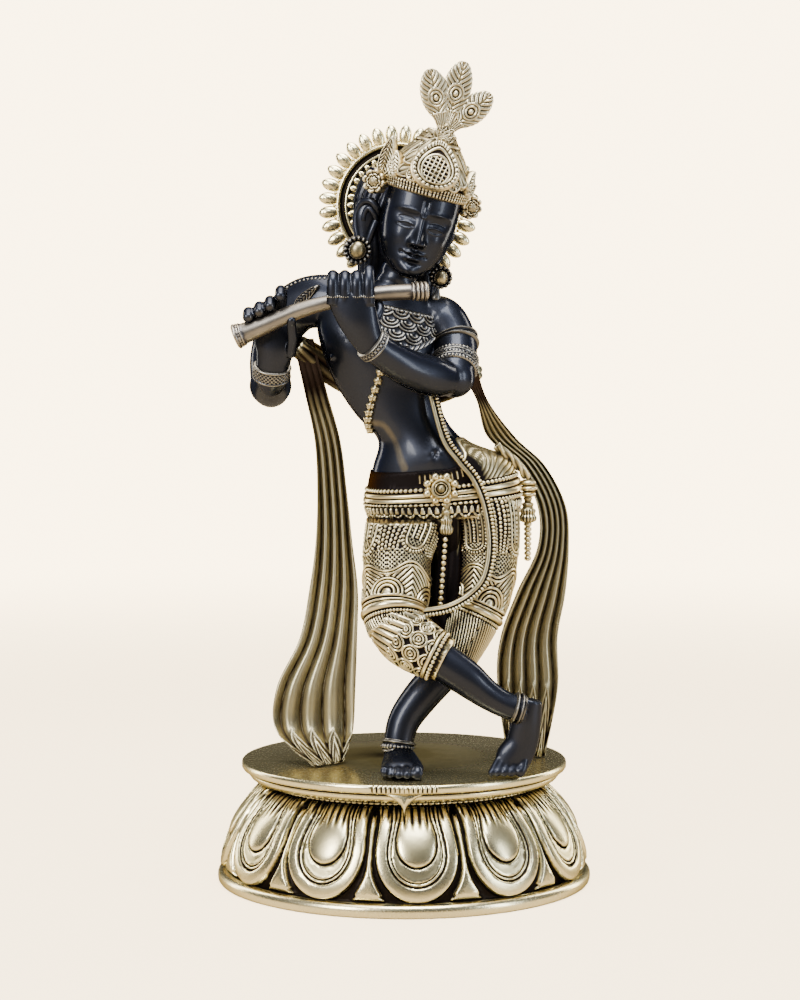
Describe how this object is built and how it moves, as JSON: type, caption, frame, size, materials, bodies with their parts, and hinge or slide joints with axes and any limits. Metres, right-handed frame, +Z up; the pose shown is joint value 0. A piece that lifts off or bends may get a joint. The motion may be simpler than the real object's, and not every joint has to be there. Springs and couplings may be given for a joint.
{
  "type": "flute player figure",
  "caption": "Cast brass figure of a crowned flute player standing cross-legged on a round lotus plinth, with pleated scarves and a bud-rimmed halo behind the head.",
  "frame": {"origin": "middle of the plinth's underside, on the surface it stands on", "axes": "+Z up, -Y the front that the figure faces, +X to the right of someone looking at its front"},
  "size_m": [0.2318, 0.2318, 0.4993],
  "materials": {
    "polished_brass": "polished, dark in the recesses",
    "dark_brass": "glossy blue-black patina, bright on clothes, crown and scarves",
    "halo_brass": "polished, dark in the recesses"
  },
  "bodies": {
    "root": {"lotus_plinth": "polished_brass", "figure": "dark_brass", "halo": "halo_brass"}
  },
  "joints": []
}
